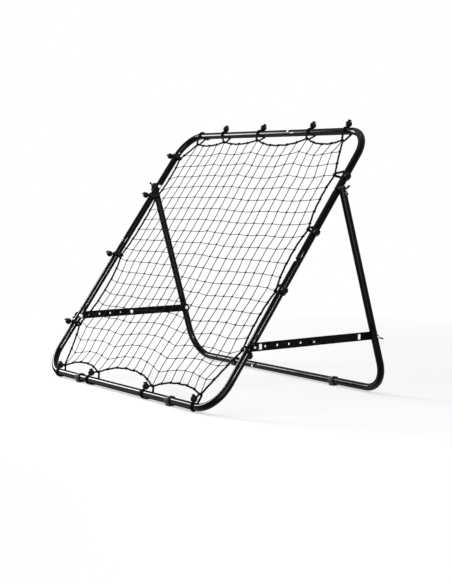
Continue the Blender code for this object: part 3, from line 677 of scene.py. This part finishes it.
def snap_button(node, plane, x, y, facing, along):
    """A domed button on a leaf that slants across the bore."""
    top = TUBE_R + BUTTON_PROUD
    leaf_top = sqrt((FITTED_R - WALL - GAP) ** 2 - (LEAF_WIDTH / 2) ** 2) - GAP
    shoulder = top - BUTTON_DOME
    profile = [(0, leaf_top - LEAF_THICKNESS / 2), (BUTTON_R, leaf_top - LEAF_THICKNESS / 2)]
    profile += dome(BUTTON_R, shoulder, BUTTON_DOME)
    shell = Shell()
    turned(shell, profile)
    leaf = Shell()
    start = -BUTTON_R
    low = leaf_top - LEAF_THICKNESS
    outline = [(start, low), (0, low), (LEAF_LENGTH, low - LEAF_DROP), (LEAF_LENGTH, leaf_top - LEAF_DROP)]
    outline += [(BUTTON_R, leaf_top), (start, leaf_top)]
    slab(leaf, outline, -LEAF_WIDTH / 2, LEAF_WIDTH / 2, Matrix.Rotation(pi / 2, 4, "X"))
    obj = carved(shell.made("fine_" + node, BUTTON), leaf, "UNION")
    heading = Matrix.Rotation(atan2(along[1], along[0]), 4, "Z")
    flip = Matrix.Identity(4) if facing > 0 else Matrix.Rotation(pi, 4, "X")
    obj.data.transform(plane @ Matrix.Translation((x, y, 0)) @ heading @ flip)
    return dressed(obj, node)


def snap_buttons():
    x = BAR_JOINT_X - BUTTON_FROM_JOINT
    s = UPPER_JOINT_S - BUTTON_FROM_JOINT
    snap_button("button_top", FRONT_PLANE, x, FRAME_LENGTH, 1, (1, 0))
    snap_button("button_bottom", FRONT_PLANE, x, 0, -1, (1, 0))
    snap_button("button_side_left", FRONT_PLANE, -FRAME_HALF_WIDTH, s, -1, (0, 1))
    snap_button("button_side_right", FRONT_PLANE, FRAME_HALF_WIDTH, s, 1, (0, 1))
    snap_button("button_rear", LEG_PLANE, REAR_JOINT_X - BUTTON_FROM_JOINT, -LEG_LENGTH, 1, (1, 0))


def clip_outline():
    """Section of a foot clip, in (y, z) from the bar's centre: a C open at the top, on a flat base."""
    inner = TUBE_R + GAP
    outer = inner + CLIP_WALL
    middle = (inner + outer) / 2
    tip = (middle * cos(CLIP_ARM_ANGLE), middle * sin(CLIP_ARM_ANGLE))
    foot = -acos(CLIP_BASE_WIDTH / 2 / outer)
    right = arc((0, 0), outer, foot, CLIP_ARM_ANGLE, 16)
    right += arc(tip, CLIP_WALL / 2, CLIP_ARM_ANGLE, CLIP_ARM_ANGLE + pi, 10)[1:-1]
    bore = arc((0, 0), inner, CLIP_ARM_ANGLE, -pi - CLIP_ARM_ANGLE, 48)
    left = [(-y, z) for y, z in right][::-1]
    return [(CLIP_BASE_WIDTH / 2, -BAR_Z)] + right + bore + left + [(-CLIP_BASE_WIDTH / 2, -BAR_Z)]


def foot_clips():
    upright = Matrix.Rotation(pi / 2, 4, "Z") @ Matrix.Rotation(pi / 2, 4, "X")
    for place, y in (("front", FRONT_Y), ("rear", DEPTH / 2)):
        for side, word in SIDES:
            shell = Shell()
            slab(shell, clip_outline(), -CLIP_LENGTH / 2, CLIP_LENGTH / 2,
                 Matrix.Translation((side * CLIP_X, y, BAR_Z)) @ upright)
            node = f"foot_clip_{place}_{word}"
            dressed(bevelled(shell.made("fine_" + node, CLIP), CLIP_EDGE), node)


# Struts, bolts and wing nuts


def strut(node, x, y, heading, holes):
    """A flat strip with round ends from its hole at y, towards heading, with its inner face at x."""
    r = STRUT_WIDTH / 2
    outline = arc((holes[-1], 0), r, -pi / 2, pi / 2, END_STEPS)
    outline += arc((0, 0), r, pi / 2, 3 * pi / 2, END_STEPS)
    upright = Matrix.Rotation(pi / 2, 4, "Z") @ Matrix.Rotation(pi / 2, 4, "X")
    if heading < 0:
        upright = Matrix.Diagonal((1, -1, 1, 1)) @ upright
    place = Matrix.Translation((x, y, STRUT_Z)) @ upright
    shell, cutter = Shell(), Shell()
    slab(shell, outline, 0, STRUT_THICKNESS, place)
    for along in holes:
        at = place @ Matrix.Translation((along, 0, 0))
        rod(cutter, BOLT_HOLE_R, -STRUT_THICKNESS, 2 * STRUT_THICKNESS, at)
    obj = bevelled(carved(shell.made("fine_" + node, STRIP), cutter), STRIP_EDGE)
    return dressed(obj, node)


def struts():
    front_holes = [HOLE_PITCH * k for k in range(HOLE_COUNT + 1)]
    rear_holes = [0, REAR_BOLT_Y - MIDDLE_Y]
    for side, word in SIDES:
        front_x = FRONT_STRUT_X if side > 0 else -FRONT_STRUT_X - STRUT_THICKNESS
        rear_x = REAR_STRUT_X if side > 0 else -REAR_STRUT_X - STRUT_THICKNESS
        strut(f"strut_front_{word}", front_x, STRUT_Y, 1, front_holes)
        strut(f"strut_rear_{word}", rear_x, REAR_BOLT_Y, -1, rear_holes)


def bolt(node, side, y, z, seat, end):
    """A domed bolt along X with a cut thread at its end."""
    edge = 0.0002
    crest, root = 0.25 * THREAD_PITCH, 0.6 * THREAD_PITCH
    core = BOLT_R - THREAD_DEPTH
    reach = end - seat
    profile = []
    for k in range(11):
        turn = pi / 2 * k / 10
        profile.append((HEAD_R * sin(turn), -HEAD_HEIGHT * (HEAD_RIM + (1 - HEAD_RIM) * cos(turn))))
    profile += [(HEAD_R, -edge), (HEAD_R - edge, 0), (BOLT_R, 0)]
    profile.append((BOLT_R, reach - THREAD_TURNS * THREAD_PITCH))
    for k in range(THREAD_TURNS):
        low = reach - (THREAD_TURNS - k) * THREAD_PITCH
        profile += [(BOLT_R, low + crest), (core, low + root)]
    profile += [(core, reach - edge / 2), (0, reach)]
    shell = Shell()
    place = Matrix.Translation((side * seat, y, z)) @ Matrix.Rotation(side * pi / 2, 4, "Y")
    turned(shell, profile, 24, place)
    return dressed(shell.made("fine_" + node, ZINC), node)


def wing_nut_mesh():
    """A cast wing nut about local Z, its base at 0, rounded all over."""
    hub = Shell()
    top, shoulder = 0.85 * HUB_R, 0.45 * HUB_HEIGHT
    turned(hub, ((0, 0), (HUB_R, 0), (HUB_R, shoulder), (top, HUB_HEIGHT), (0, HUB_HEIGHT)), 32)
    wings = Shell()
    reach = WING_SPAN / 2
    tip = (0.74 * reach, 0.72 * WING_HEIGHT)
    tip_r = min(reach - tip[0], WING_HEIGHT - tip[1])
    right = [(HUB_R, 0.12 * HUB_HEIGHT)] + arc(tip, tip_r, -pi / 4, 3 * pi / 4, 12)
    right += [(0.55 * HUB_R, 0.55 * HUB_HEIGHT)]
    left = [(-x, h) for x, h in right][::-1]
    slab(wings, right + left, -WING_THICKNESS / 2, WING_THICKNESS / 2, Matrix.Rotation(pi / 2, 4, "X"))
    obj = carved(hub.made("wing_nut", NUT), wings, "UNION")
    remesh = obj.modifiers.new("cast", "REMESH")
    remesh.mode = "VOXEL"
    remesh.voxel_size = 0.0005
    soften = obj.modifiers.new("soften", "SMOOTH")
    soften.factor = 0.5
    soften.iterations = 4
    fewer = obj.modifiers.new("fewer", "DECIMATE")
    fewer.ratio = 0.35
    applied(obj, 60)
    bore = Shell()
    rod(bore, BOLT_HOLE_R, -HUB_HEIGHT, 2 * WING_HEIGHT)
    carved(obj, bore)
    smooth(obj.data, 60)
    mesh = obj.data
    bpy.data.objects.remove(obj)
    return mesh


def wing_nut(node, mesh, side, y, z, seat, turn):
    obj = bpy.data.objects.new("fine_" + node, mesh.copy())
    bpy.context.scene.collection.objects.link(obj)
    about = Matrix.Rotation(side * pi / 2, 4, "Y") @ Matrix.Rotation(turn, 4, "Z")
    obj.data.transform(Matrix.Translation((side * seat, y, z)) @ about)
    return dressed(obj, node)


def fasteners():
    """Each place: name, y, z, inner seat of the head, outer seat of the nut, turn of the nut."""
    tube_seat = FRAME_HALF_WIDTH - TUBE_R - GAP
    leg_seat = LEG_HALF_WIDTH + TUBE_R + GAP
    strut_seat = FRONT_STRUT_X + STRUT_THICKNESS + GAP
    strip_seat = REAR_STRUT_X - GAP
    nut = wing_nut_mesh()
    places = (
        ("pivot", PIVOT_Y, PIVOT_Z, tube_seat, leg_seat, radians(-14)),
        ("front", STRUT_Y, STRUT_Z, tube_seat, strut_seat, radians(50)),
        ("middle", MIDDLE_Y, STRUT_Z, strip_seat, strut_seat, radians(62)),
        ("rear", REAR_BOLT_Y, STRUT_Z, strip_seat, leg_seat, radians(60)),
    )
    for side, word in SIDES:
        for place, y, z, seat, nut_seat, turn in places:
            bolt(f"bolt_{place}_{word}", side, y, z, seat, nut_seat + HUB_HEIGHT + THREAD_PAST_HUB)
            wing_nut(f"wing_nut_{place}_{word}", nut, side, y, z, nut_seat, turn)


def white_patches():
    """Two small thin white patches on the outside of the right struts."""
    after_front_bolt, before_rear_bolt = 0.025, 0.050
    corner, half_width, half_height = 0.0012, 0.0048, 0.0078
    low, high = 0.00002, 0.00025
    front_x, rear_x = FRONT_STRUT_X + STRUT_THICKNESS, REAR_STRUT_X + STRUT_THICKNESS
    patches = (
        ("white_patch_front", STRUT_Y + after_front_bolt, front_x, "front_strut_right"),
        ("white_patch_rear", REAR_BOLT_Y - before_rear_bolt, rear_x, "rear_strut_right"),
    )
    for name, y, x, body in patches:
        outline = []
        for dx, dy, start in ((1, 1, 0), (-1, 1, pi / 2), (-1, -1, pi), (1, -1, 3 * pi / 2)):
            centre = (dx * (half_width - corner), dy * (half_height - corner))
            outline += arc(centre, corner, start, start + pi / 2, 5)
        shell = Shell()
        upright = Matrix.Rotation(pi / 2, 4, "Z") @ Matrix.Rotation(pi / 2, 4, "X")
        slab(shell, outline, low, high, Matrix.Translation((x, y, STRUT_Z)) @ upright)
        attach(shell.made(name, WHITE_PATCH), body)


# Border rope, ties and net, in the front frame's plane

# Where a tie holds the rope, in order round the frame from the top left: the tie, its place (x, s) on the
# tube's centre line, the rope's corner (x, s), how far the rope bows in after it, the ball's angle from the
# direction to the net towards the front, how far the ball sits along x or s from its tie, and how far along
# the bar the cord comes up behind it.
TOP, HALF = FRAME_LENGTH, FRAME_HALF_WIDTH
HOLDS = (
    ("tie_top_1", (-0.400, TOP), (-0.397, 0.944), 0.013, 245, 0, 0.006),
    ("tie_top_2", (-0.265, TOP), (-0.243, 0.951), 0.014, 160, 0, 0.020),
    ("tie_top_3", (-0.061, TOP), (-0.057, 0.955), 0.026, 165, 0.008, 0.014),
    ("tie_top_4", (0.203, TOP), (0.205, 0.956), 0.020, 155, 0.008, 0.014),
    ("tie_top_5", (0.378, TOP), (0.385, 0.946), 0.003, 150, 0.008, 0.012),
    ("tie_right_1", (HALF, 0.803), (0.439, 0.812), 0.015, 160, 0, 0.003),
    ("tie_right_2", (HALF, 0.602), (0.457, 0.614), 0.018, 162, 0, 0.003),
    ("tie_right_3", (HALF, 0.400), (0.465, 0.398), 0.012, 163, 0, 0.003),
    ("tie_right_4", (HALF, 0.192), (0.464, 0.198), 0.003, 300, 0, 0.003),
    ("tie_bottom_1", (0.392, 0), (0.388, 0.037), 0.024, 42, 0, 0.014),
    ("tie_bottom_2", (0.124, 0), (0.142, 0.027), 0.036, 30, 0.005, 0.026),
    ("tie_bottom_3", (-0.205, 0), (-0.182, 0.029), 0.025, 30, 0.008, 0.036),
    ("tie_bottom_4", (-0.400, 0), (-0.397, 0.023), 0.006, 30, 0, 0.012),
    ("tie_left_1", (-HALF, 0.184), (-0.456, 0.184), 0.029, 122, -0.008, 0.003),
    ("tie_left_2", (-HALF, 0.463), (-0.458, 0.465), 0.013, 125, -0.008, 0.003),
    ("tie_left_3", (-HALF, 0.716), (-0.458, 0.708), 0.012, 135, -0.008, 0.003),
    ("tie_left_4", (-HALF, 0.888), (-0.457, 0.880), 0.002, 145, -0.006, 0.003),
)
INWARD = {"top": (0, -1), "right": (-1, 0), "bottom": (0, 1), "left": (1, 0)}


def rope_path():
    """The rope's closed centre line in (x, s, n), how far along each point is, and each tie's hold."""
    points, held = [], []
    for k, (_, _, corner, bow, _, _, _) in enumerate(HOLDS):
        start = Vector((*corner, 0))
        end = Vector((*HOLDS[(k + 1) % len(HOLDS)][2], 0))
        run = end - start
        inward = Vector((run.y, -run.x, 0)).normalized()
        held.append(len(points))
        steps = max(8, ceil(run.length / 0.004))
        for step in range(steps):
            t = step / steps
            rise = 1 - abs(2 * t - 1) ** 2.4
            wave = ROPE_WAVE * sin(37 * t + 5 * k) * rise
            points.append(start + run * t + inward * (bow * rise + wave))
    points = eased(points, 3, True)
    at = distances(np.vstack([points, points[:1]]))
    return points, at, [at[k] for k in held]


ROPE_POINTS, ROPE_AT, HELD_AT = rope_path()


def on_rope(distance):
    """(x, s, n) at a distance along the rope."""
    closed = np.vstack([ROPE_POINTS, ROPE_POINTS[:1]])
    distance = distance % ROPE_AT[-1]
    return np.array([np.interp(distance, ROPE_AT, closed[:, k]) for k in range(3)])


def border_rope():
    """Three strands laid together, of the rope's full thickness, in one closed loop."""
    path = resampled(ROPE_POINTS, ROPE_PITCH / 9, True)
    first, second = turning_frames(path, True)
    length = ROPE_AT[-1]
    turns = round(length / ROPE_PITCH)
    angles = tau * turns * np.arange(len(path)) / len(path)
    shell = Shell()
    for strand in range(3):
        turn = (angles + tau * strand / 3)[:, None]
        centre = path + STRAND_LAY * (np.cos(turn) * first + np.sin(turn) * second)
        cord(shell, centre, STRAND_R, 7, True)
    dressed(shell.made("fine_border_rope", ROPE, FRONT_PLANE), "border_rope")


def tie_loop(reach, drift, behind, rise, offset):
    """A closed loop round the tube at 0 and the rope at reach, in (inward, front, along) axes.

    The cord starts at rise along the bar, drifts along it behind, and comes back from the rope."""
    tube_r = TUBE_R + GAP + TIE_CORD_R
    rope_r = ROPE_R + GAP + TIE_CORD_R
    lean = asin((tube_r - rope_r) / reach)
    leave = pi / 2 - lean
    turn = tau - 2 * leave
    points = []
    steps, apex = 28, 0.45
    for k in range(steps + 1):
        t = k / steps
        angle = leave + turn * t
        late = max(0.0, (t - apex) / (1 - apex))
        early = max(0.0, 1 - t / apex)
        along = behind * late * late * (3 - 2 * late) + rise * early * early * (3 - 2 * early)
        points.append((tube_r * cos(angle), tube_r * sin(angle), along + offset))
    for k in range(11):
        angle = -leave + 2 * leave * k / 10
        points.append((reach + rope_r * cos(angle), rope_r * sin(angle), drift + offset * cos(angle / 2)))
    return eased(resampled(points, 0.002, True), 2, True)


def overhand(shell, centre, size, radius, rng):
    """A small overhand knot, turned by chance."""
    spin = rng.uniform(0, tau)
    points = []
    for k in range(18):
        t = tau * k / 18
        x, y = (sin(t) + 2 * sin(2 * t)) / 3, (cos(t) - 2 * cos(2 * t)) / 3
        points.append(np.array(centre) + size * np.array((
            x * cos(spin) - y * sin(spin), x * sin(spin) + y * cos(spin), -0.5 * sin(3 * t))))
    cord(shell, points, radius, 6, True)


def tie(name, place, corner, ball_angle, slip, behind):
    """Two turns of elastic cord round tube and rope, hooked under a ball."""
    inward = Vector((*INWARD[name.split("_")[1]], 0))
    front = Vector((0, 0, 1))
    along = inward.cross(front)
    away = Vector((*corner, 0)) - Vector((*place, 0))
    sign = 1 if away.dot(along) >= 0 else -1
    # On the right side the cord starts further up the tube than the ball sits.
    rise = TIE_RISE * along.y if inward.x < 0 else 0
    axes = Matrix((inward, front, along)).transposed().to_4x4()
    shell = Shell()
    side = TIE_CORD_R + 0.0001
    for offset in (-side, side):
        loop = tie_loop(away.dot(inward), away.dot(along), sign * behind, rise, offset)
        cord(shell, loop, TIE_CORD_R, 10, True)
    angle = radians(ball_angle)
    out = Vector((cos(angle), sin(angle), 0))
    tangent = Vector((-sin(angle), cos(angle), 0))
    across = Vector((0, 0, 1))
    slid = across * slip * (along.x + along.y)
    centre = out * (TUBE_R + TIE_BALL_CLEAR + TIE_BALL_R) + slid
    # The loop's end is hooked round the ball's underside.
    neck = out * (TUBE_R + GAP + 3.2 * TIE_CORD_R) + slid
    cord(shell, circle(neck, tangent, across, TIE_HOOK_R, 24), TIE_CORD_R, 10, True)
    step = 0.0004
    floor_of_hole = TIE_BALL_R - BALL_HOLE_DEPTH
    start = asin(BALL_HOLE_RIM / TIE_BALL_R)
    profile = [(0, floor_of_hole), (BALL_HOLE_R, floor_of_hole)]
    profile.append((BALL_HOLE_R, TIE_BALL_R * cos(start) - step))
    steps = 22
    for k in range(steps + 1):
        turn = start + (pi - start) * k / steps
        r = TIE_BALL_R - (BALL_SEAM if abs(turn - pi / 2) < 0.07 else 0)
        profile.append((r * sin(turn), r * cos(turn)))
    spin = Matrix((tangent, across, out)).transposed().to_4x4()
    turned(shell, profile, 28, Matrix.Translation(centre) @ spin, 1)
    # The cord's ends come out of the ball's hole into a small knot, and one of them stands off it.
    rng = np.random.default_rng(sum(map(ord, name)))
    top = centre + out * (TIE_BALL_R + step)
    cord(shell, [centre + out * floor_of_hole, top], 0.0017, 10)
    overhand(shell, top, TIE_KNOT_R, TIE_KNOT_CORD_R, rng)
    aside = (tangent * rng.uniform(-1, 1) - across * 0.8).normalized()
    tail = []
    for t in (0, 0.35, 0.7, 1):
        tail.append(top + out * (0.003 * t - 0.004 * t * t) + aside * TIE_TAIL * t)
    cord(shell, tail, TIE_TAIL_R, 8)
    matrix = FRONT_PLANE @ Matrix.Translation((*place, 0)) @ axes
    dressed(shell.made("fine_" + name, [ELASTIC, BALL], matrix), name)


def ties():
    for name, place, corner, _, ball_angle, slip, behind in HOLDS:
        tie(name, place, corner, ball_angle, slip, behind)


def between(first, last, share):
    """Distance along the rope at a share of the way between two ties, also past the path's end."""
    start, end = HELD_AT[first], HELD_AT[last % len(HOLDS)]
    if end <= start:
        end += ROPE_AT[-1]
    return start + (end - start) * share


def attachments():
    """Where along the rope the columns and rows end.

    The marks say which line of the net, counted round the frame, ends at each tie of a side. The rows' ends
    at the left sit a little further on than their count."""
    top = [0, 4, 8, 14, 18]
    bottom = [0, 6, 13, 18]
    right = [0, 3, 7.5, 12, 17, 20]
    left = [0, 3, 9.5, 15.5, 19, 20]
    left_shift = 0.2

    def spread_over(first_hold, marks, wanted):
        found = []
        for mark in wanted:
            k = max(j for j in range(len(marks) - 1) if marks[j] <= mark)
            share = (mark - marks[k]) / (marks[k + 1] - marks[k])
            found.append(between(first_hold + k, first_hold + k + 1, share))
        return found

    columns_top = spread_over(0, top, range(CELLS - 1))
    rows_right = spread_over(4, right, range(1, CELLS))
    columns_bottom = spread_over(9, bottom, range(CELLS - 1))[::-1]
    rows_left = spread_over(12, left, [row + left_shift for row in range(1, CELLS)])[::-1]
    return columns_top, rows_right, columns_bottom, rows_left


def net_knots(ends):
    """(x, s, n) of the net's knots, at rest under its own weight between its ends on the rope."""
    columns_top, rows_right, columns_bottom, rows_left = ends
    grid = np.zeros((CELLS + 1, CELLS + 1, 3))
    for i in range(1, CELLS):
        grid[i, 0] = on_rope(columns_top[i - 1])
        grid[i, CELLS] = on_rope(columns_bottom[i - 1])
        grid[CELLS, i] = on_rope(rows_right[i - 1])
        grid[0, i] = on_rope(rows_left[i - 1])
    share = np.linspace(0, 1, CELLS + 1)[1:-1]
    grid[1:-1, 1:-1] = grid[1:-1, :1] + (grid[1:-1, -1:] - grid[1:-1, :1]) * share[None, :, None]
    # A line holds its own spacing and takes little from the lines across it.
    across, down = np.array((1, 0.06, 0.5)), np.array((0.06, 1, 0.5))
    # With this step the middle of a square net settles about the named sag below its border.
    drop = NET_SAG * 3.4 / CELLS**2
    rounds = 2500
    for _ in range(rounds):
        level = across * (grid[:-2, 1:-1] + grid[2:, 1:-1]) + down * (grid[1:-1, :-2] + grid[1:-1, 2:])
        grid[1:-1, 1:-1] = level / (2 * (across + down))
        grid[1:-1, 1:-1, 2] -= drop
    rng = np.random.default_rng(7)
    grid[1:-1, 1:-1] += rng.normal(0, 1, grid[1:-1, 1:-1].shape) * KNOT_SCATTER
    return grid


def twine(shell, knots, radius):
    """One line of the net through its knots, with a little slack between them."""
    points = []
    for a, b in zip(knots, knots[1:]):
        for t in (0, 0.33, 0.67):
            slack = TWINE_SLACK * sin(pi * t)
            points.append(a + (b - a) * t - np.array((0, slack, slack)))
    points.append(knots[-1])
    cord(shell, points, radius, 6)


def hitch(shell, distance, rng):
    """Two turns of twine round the border rope where a line ends on it."""
    for shift in (-HITCH_CORD_R, HITCH_CORD_R):
        at = distance + shift + rng.uniform(-HITCH_SCATTER, HITCH_SCATTER)
        centre, ahead = on_rope(at), on_rope(at + 0.002)
        along = Vector(ahead - centre).normalized()
        side = along.cross(Vector((0, 0, 1))).normalized()
        turn = circle(Vector(centre), side, side.cross(along), ROPE_R + 0.0006, 14)
        cord(shell, turn, HITCH_CORD_R, 6, True)


def net():
    ends = attachments()
    knots = net_knots(ends)
    shell = Shell()
    rng = np.random.default_rng(11)
    for i in range(1, CELLS):
        twine(shell, knots[i, :], COLUMN_TWINE_R)
        twine(shell, knots[:, i], ROW_TWINE_R)
    for i in range(1, CELLS):
        for j in range(1, CELLS):
            overhand(shell, knots[i, j], KNOT_R * rng.uniform(0.88, 1.1), KNOT_CORD_R, rng)
    for side in ends:
        for distance in side:
            hitch(shell, distance, rng)
    dressed(shell.made("fine_net", TWINE, FRONT_PLANE, 70), "net")


front_tubes()
leg_tubes()
leg_caps()
snap_buttons()
foot_clips()
struts()
fasteners()
white_patches()
border_rope()
ties()
net()


# Camera, floor and light

CAMERA_AT = (3.4581, -2.4103, 0.6894)
CAMERA_YAW = -0.9466
CAMERA_PITCH = 0.0383
FOCAL_PX = 1317.7
FRAME_PX = 584
SENSOR = 36.0
CENTRE_PX = 219.5

FLOOR_R = 4
FLOOR_FADE = (0.7, 2.2)
AMBIENT = 0.34


def camera():
    data = bpy.data.cameras.new("camera")
    data.sensor_width = SENSOR
    data.lens = FOCAL_PX / FRAME_PX * SENSOR
    data.shift_y = (CENTRE_PX - FRAME_PX / 2) / FRAME_PX
    data.clip_end = 60
    obj = bpy.data.objects.new("camera", data)
    bpy.context.scene.collection.objects.link(obj)
    obj.location = CAMERA_AT
    ahead = cos(CAMERA_PITCH)
    forward = Vector((sin(CAMERA_YAW) * ahead, cos(CAMERA_YAW) * ahead, -sin(CAMERA_PITCH)))
    obj.rotation_mode = "QUATERNION"
    obj.rotation_quaternion = forward.to_track_quat("-Z", "Y")
    bpy.context.scene.camera = obj


def seen_directly(tree):
    """1 for camera, glossy and transmission rays."""
    path = tree.nodes.new("ShaderNodeLightPath")
    either = arithmetic(tree, "MAXIMUM", path.outputs["Is Camera Ray"], path.outputs["Is Glossy Ray"])
    return arithmetic(tree, "MAXIMUM", either, path.outputs["Is Transmission Ray"])


def world(ambient):
    made = bpy.data.worlds.new("studio")
    bpy.context.scene.world = made
    made.use_nodes = True
    tree = made.node_tree
    background = tree.nodes["Background"]
    background.inputs["Color"].default_value = (1, 1, 1, 1)
    lift = arithmetic(tree, "MULTIPLY", seen_directly(tree), 1 - ambient)
    tree.links.new(arithmetic(tree, "ADD", lift, ambient), background.inputs["Strength"])


def floor():
    """A round pale floor that keeps the shadows and fades into the white background."""
    shell = Shell()
    just_below = Vector((0, 0, -0.0002))
    shell.cap(circle(just_below, Vector((1, 0, 0)), Vector((0, 1, 0)), FLOOR_R, 96))
    made = bpy.data.materials.new("pale_floor")
    made.use_nodes = True
    tree = made.node_tree
    tree.nodes.remove(tree.nodes["Principled BSDF"])
    diffuse = tree.nodes.new("ShaderNodeBsdfDiffuse")
    diffuse.inputs["Color"].default_value = (0.92, 0.92, 0.925, 1)
    white = tree.nodes.new("ShaderNodeEmission")
    place = tree.nodes.new("ShaderNodeTexCoord")
    length = tree.nodes.new("ShaderNodeVectorMath")
    length.operation = "LENGTH"
    tree.links.new(place.outputs["Object"], length.inputs[0])
    fade = spread(tree, length.outputs["Value"], 0.55, 1.0, *FLOOR_FADE)
    share = arithmetic(tree, "MULTIPLY", fade, seen_directly(tree))
    mix = tree.nodes.new("ShaderNodeMixShader")
    tree.links.new(share, mix.inputs[0])
    tree.links.new(diffuse.outputs[0], mix.inputs[1])
    tree.links.new(white.outputs[0], mix.inputs[2])
    tree.links.new(mix.outputs[0], tree.nodes["Material Output"].inputs["Surface"])
    shell.made("floor", made)


def softbox(name, at, target, up, size, radiance):
    """A flat lamp; size is across and along up, radiance is what a mirror would show of it."""
    data = bpy.data.lights.new(name, "AREA")
    data.shape = "RECTANGLE"
    data.size, data.size_y = size
    data.energy = radiance * pi * size[0] * size[1]
    obj = bpy.data.objects.new(name, data)
    bpy.context.scene.collection.objects.link(obj)
    back = (Vector(at) - Vector(target)).normalized()
    across = Vector(up).cross(back).normalized()
    turn = Matrix((across, back.cross(across), back)).transposed().to_4x4()
    obj.matrix_world = Matrix.Translation(at) @ turn


def lights():
    softbox("overhead", (0.3, -0.6, 3.5), (0, 0, 0.4), (0, 1, 0), (2.6, 2.6), 1.5)
    softbox("bar_light", (-2.3, -1.05, 1.3), (0, -0.1, 0.4), (0, -0.56, 0.83), (0.78, 1.0), 34)
    softbox("side_light", (3.25, -0.36, 1.37), (0.49, -0.15, 0.23), (0, 0.59, 0.81), (0.25, 0.7), 95)


camera()
world(AMBIENT)
floor()
lights()
bpy.context.scene.view_settings.view_transform = "Standard"
